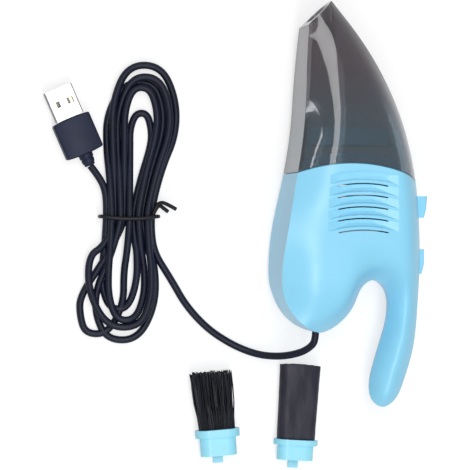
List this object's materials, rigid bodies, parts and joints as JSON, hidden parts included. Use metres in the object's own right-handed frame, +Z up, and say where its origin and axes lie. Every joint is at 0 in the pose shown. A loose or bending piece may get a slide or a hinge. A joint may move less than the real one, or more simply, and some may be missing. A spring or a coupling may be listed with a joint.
{
  "type": "desktop mini vacuum cleaner",
  "caption": "Hand-held desktop vacuum with a pull-off clear dust cup, filter, fan, latch button, power slider, USB lead and two plug-in suction tools",
  "frame": {"origin": "on the flat underside of the casing where it rests on the table, straight below the motor's axis", "axes": "+Z up from the table, +Y along the casing towards the nozzle's mouth, +X towards the back edge with the buttons"},
  "size_m": [0.1557, 0.1923, 0.0398],
  "materials": {
    "blue_shell": "glossy pale blue ABS",
    "smoke_cup": "glossy smoke-clear plastic",
    "pale_blue": "satin pale blue plastic",
    "filter_cloth": "pale non-woven cloth",
    "inner_plastic": "satin grey plastic",
    "black_plastic": "satin black plastic",
    "steel": "plain steel",
    "brass": "bright contact brass",
    "cord_black": "satin blue-black PVC",
    "bristle": "fine black nylon bristles",
    "soft_rubber": "satin dark rubber",
    "tie": "black plastic-coated wire",
    "plug_metal": "bright plated steel",
    "plug_white": "white plastic"
  },
  "bodies": {
    "casing": {"upper_shell": "blue_shell", "lower_shell": "blue_shell", "fan_shroud": "inner_plastic", "motor_can": "steel", "motor_end_cap": "black_plastic", "motor_terminals": "brass", "motor_mount": "inner_plastic", "motor_screws": "steel", "release_spring": "steel", "switch_body": "black_plastic", "switch_lugs": "brass", "inner_wires": "cord_black", "cord_grommet": "cord_black", "casing_screws": "steel", "cord_lead": "cord_black", "cord_hank": "cord_black", "cord_tail": "cord_black", "hank_tie": "tie", "plug_grip": "cord_black", "plug_shell": "plug_metal", "plug_tongue": "plug_white", "plug_contacts": "brass"},
    "cup": {"dust_cup": "smoke_cup"},
    "filter": {"filter_frame": "pale_blue", "filter_cloth": "filter_cloth"},
    "fan": {"impeller": "inner_plastic", "motor_shaft": "steel"},
    "latch": {"release_button": "blue_shell"},
    "power": {"power_slider": "blue_shell"},
    "brush": {"brush_base": "pale_blue", "brush_bristles": "bristle"},
    "flat_tool": {"flat_tool_base": "pale_blue", "rubber_nozzle": "soft_rubber"}
  },
  "joints": [
    {"name": "cup_pull", "type": "slide", "parent": "casing", "child": "cup", "axis": [0, 1, 0], "range_m": [0, 0.065]},
    {"name": "filter_lift", "type": "slide", "parent": "casing", "child": "filter", "axis": [0, 1, 0], "range_m": [0, 0.004]},
    {"name": "fan_spin", "type": "hinge", "parent": "casing", "child": "fan", "pos_m": [0, 0, 0.02], "axis": [0, 1, 0], "continuous": true},
    {"name": "release_press", "type": "slide", "parent": "casing", "child": "latch", "axis": [-1, 0, 0], "range_m": [0, 0.0022], "stiffness_N_per_m": 400, "springref_m": -0.002},
    {"name": "power_slide", "type": "slide", "parent": "casing", "child": "power", "axis": [0, 1, 0], "range_m": [0, 0.004]},
    {"name": "brush_pick_up", "type": "slide", "parent": "casing", "child": "brush", "axis": [0, 0, 1], "range_m": [0, 0.06]},
    {"name": "flat_tool_pick_up", "type": "slide", "parent": "casing", "child": "flat_tool", "axis": [0, 0, 1], "range_m": [0, 0.06]}
  ]
}
